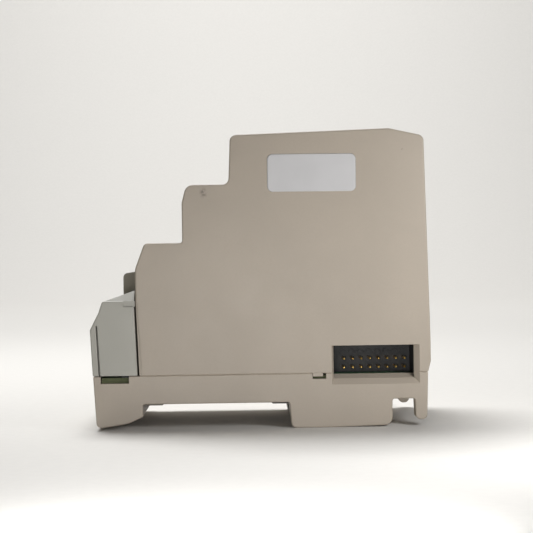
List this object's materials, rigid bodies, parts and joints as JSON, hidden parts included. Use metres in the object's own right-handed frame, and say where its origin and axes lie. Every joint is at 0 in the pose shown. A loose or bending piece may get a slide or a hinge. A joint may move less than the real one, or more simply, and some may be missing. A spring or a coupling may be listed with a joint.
{
  "type": "plc input and output module",
  "caption": "Stepped rail-mounted controller module with a pull-off screw terminal plug, sprung rail latch and a pin header for the bus in each side.",
  "frame": {"origin": "middle of the footprint, on the plane the feet stand on", "axes": "+X from the terminal end to the far end, +Y along the mounting rail, +Z from the rail side to the front"},
  "size_m": [0.0986, 0.0526, 0.0864],
  "materials": {
    "case_plastic": "fine moulded texture, warm light grey",
    "terminal_plastic": "moulded, cooler light grey",
    "black_plastic": "moulded, black",
    "latch_plastic": "glass-filled nylon, black",
    "grip_plastic": "moulded, dark grey",
    "board": "glass-fibre board with green solder mask",
    "chip_package": "moulded epoxy package",
    "gold_plate": "gold-plated",
    "tinned_copper": "tin-plated",
    "zinc_steel": "bright zinc-plated steel",
    "spring_steel": "drawn wire",
    "can_aluminium": "sleeved can, bare top",
    "front_film": "fine-grained polyester film, plain",
    "clear_plastic": "clear polycarbonate",
    "paper": "uncoated white paper",
    "label_film": "blank white polyester label"
  },
  "bodies": {
    "case": {"base": "case_plastic", "cover": "case_plastic", "latch_spring": "spring_steel", "main_board": "board", "logic_board": "board", "lamp_board": "board", "board_screws": "zinc_steel", "board_socket": "black_plastic", "lamp_board_connector": "black_plastic", "optocouplers": "chip_package", "driver_chips": "chip_package", "bus_chip": "chip_package", "supply_capacitors": "can_aluminium", "lamps": "clear_plastic", "light_pipes": "clear_plastic", "bus_hood_in": "black_plastic", "bus_hood_out": "black_plastic", "bus_pin_block_in": "black_plastic", "bus_pin_block_out": "black_plastic", "bus_pins_in": "gold_plate", "bus_pins_out": "gold_plate", "front_panel": "front_film", "marking_strip": "paper", "strip_cover": "clear_plastic", "side_label": "label_film", "pin_strip": "black_plastic", "terminal_pins": "tinned_copper"},
    "latch": {"rail_latch": "latch_plastic"},
    "plug": {"terminal_plug": "terminal_plastic", "terminal_plug_foot": "terminal_plastic", "plug_contacts": "tinned_copper", "plug_grip": "grip_plastic"},
    "screw_1": {"terminal_screw_1": "zinc_steel"},
    "cage_1": {"clamp_cage_1": "tinned_copper"},
    "screw_2": {"terminal_screw_2": "zinc_steel"},
    "cage_2": {"clamp_cage_2": "tinned_copper"},
    "screw_3": {"terminal_screw_3": "zinc_steel"},
    "cage_3": {"clamp_cage_3": "tinned_copper"},
    "screw_4": {"terminal_screw_4": "zinc_steel"},
    "cage_4": {"clamp_cage_4": "tinned_copper"},
    "screw_5": {"terminal_screw_5": "zinc_steel"},
    "cage_5": {"clamp_cage_5": "tinned_copper"},
    "screw_6": {"terminal_screw_6": "zinc_steel"},
    "cage_6": {"clamp_cage_6": "tinned_copper"},
    "screw_7": {"terminal_screw_7": "zinc_steel"},
    "cage_7": {"clamp_cage_7": "tinned_copper"},
    "screw_8": {"terminal_screw_8": "zinc_steel"},
    "cage_8": {"clamp_cage_8": "tinned_copper"}
  },
  "joints": [
    {"name": "latch_slide", "type": "slide", "parent": "case", "child": "latch", "axis": [1, 0, 0], "range_m": [0, 0.0035], "stiffness_N_per_m": 1500, "springref_m": -0.002, "deforming": ["latch_spring"]},
    {"name": "plug_pull", "type": "slide", "parent": "case", "child": "plug", "axis": [-0.0368, 0, 0.9993], "range_m": [0, 0.025]},
    {"name": "screw_turn_1", "type": "hinge", "parent": "plug", "child": "screw_1", "pos_m": [-0.04265, -0.02108, 0.03], "axis": [0, 0, -1], "range_deg": [0, 1800]},
    {"name": "cage_lift_1", "type": "slide", "parent": "plug", "child": "cage_1", "axis": [0, 0, 1], "range_m": [0, 0.00225]},
    {"name": "screw_turn_2", "type": "hinge", "parent": "plug", "child": "screw_2", "pos_m": [-0.04265, -0.016, 0.03], "axis": [0, 0, -1], "range_deg": [0, 1800]},
    {"name": "cage_lift_2", "type": "slide", "parent": "plug", "child": "cage_2", "axis": [0, 0, 1], "range_m": [0, 0.00225]},
    {"name": "screw_turn_3", "type": "hinge", "parent": "plug", "child": "screw_3", "pos_m": [-0.04265, -0.01092, 0.03], "axis": [0, 0, -1], "range_deg": [0, 1800]},
    {"name": "cage_lift_3", "type": "slide", "parent": "plug", "child": "cage_3", "axis": [0, 0, 1], "range_m": [0, 0.00225]},
    {"name": "screw_turn_4", "type": "hinge", "parent": "plug", "child": "screw_4", "pos_m": [-0.04265, -0.00584, 0.03], "axis": [0, 0, -1], "range_deg": [0, 1800]},
    {"name": "cage_lift_4", "type": "slide", "parent": "plug", "child": "cage_4", "axis": [0, 0, 1], "range_m": [0, 0.00225]},
    {"name": "screw_turn_5", "type": "hinge", "parent": "plug", "child": "screw_5", "pos_m": [-0.04265, -0.00076, 0.03], "axis": [0, 0, -1], "range_deg": [0, 1800]},
    {"name": "cage_lift_5", "type": "slide", "parent": "plug", "child": "cage_5", "axis": [0, 0, 1], "range_m": [0, 0.00225]},
    {"name": "screw_turn_6", "type": "hinge", "parent": "plug", "child": "screw_6", "pos_m": [-0.04265, 0.00432, 0.03], "axis": [0, 0, -1], "range_deg": [0, 1800]},
    {"name": "cage_lift_6", "type": "slide", "parent": "plug", "child": "cage_6", "axis": [0, 0, 1], "range_m": [0, 0.00225]},
    {"name": "screw_turn_7", "type": "hinge", "parent": "plug", "child": "screw_7", "pos_m": [-0.04265, 0.0094, 0.03], "axis": [0, 0, -1], "range_deg": [0, 1800]},
    {"name": "cage_lift_7", "type": "slide", "parent": "plug", "child": "cage_7", "axis": [0, 0, 1], "range_m": [0, 0.00225]},
    {"name": "screw_turn_8", "type": "hinge", "parent": "plug", "child": "screw_8", "pos_m": [-0.04265, 0.01448, 0.03], "axis": [0, 0, -1], "range_deg": [0, 1800]},
    {"name": "cage_lift_8", "type": "slide", "parent": "plug", "child": "cage_8", "axis": [0, 0, 1], "range_m": [0, 0.00225]}
  ],
  "couplings": [
    {"joint": "screw_turn_1", "follows": "cage_lift_1", "rad_per_m": 13963},
    {"joint": "screw_turn_2", "follows": "cage_lift_2", "rad_per_m": 13963},
    {"joint": "screw_turn_3", "follows": "cage_lift_3", "rad_per_m": 13963},
    {"joint": "screw_turn_4", "follows": "cage_lift_4", "rad_per_m": 13963},
    {"joint": "screw_turn_5", "follows": "cage_lift_5", "rad_per_m": 13963},
    {"joint": "screw_turn_6", "follows": "cage_lift_6", "rad_per_m": 13963},
    {"joint": "screw_turn_7", "follows": "cage_lift_7", "rad_per_m": 13963},
    {"joint": "screw_turn_8", "follows": "cage_lift_8", "rad_per_m": 13963}
  ]
}
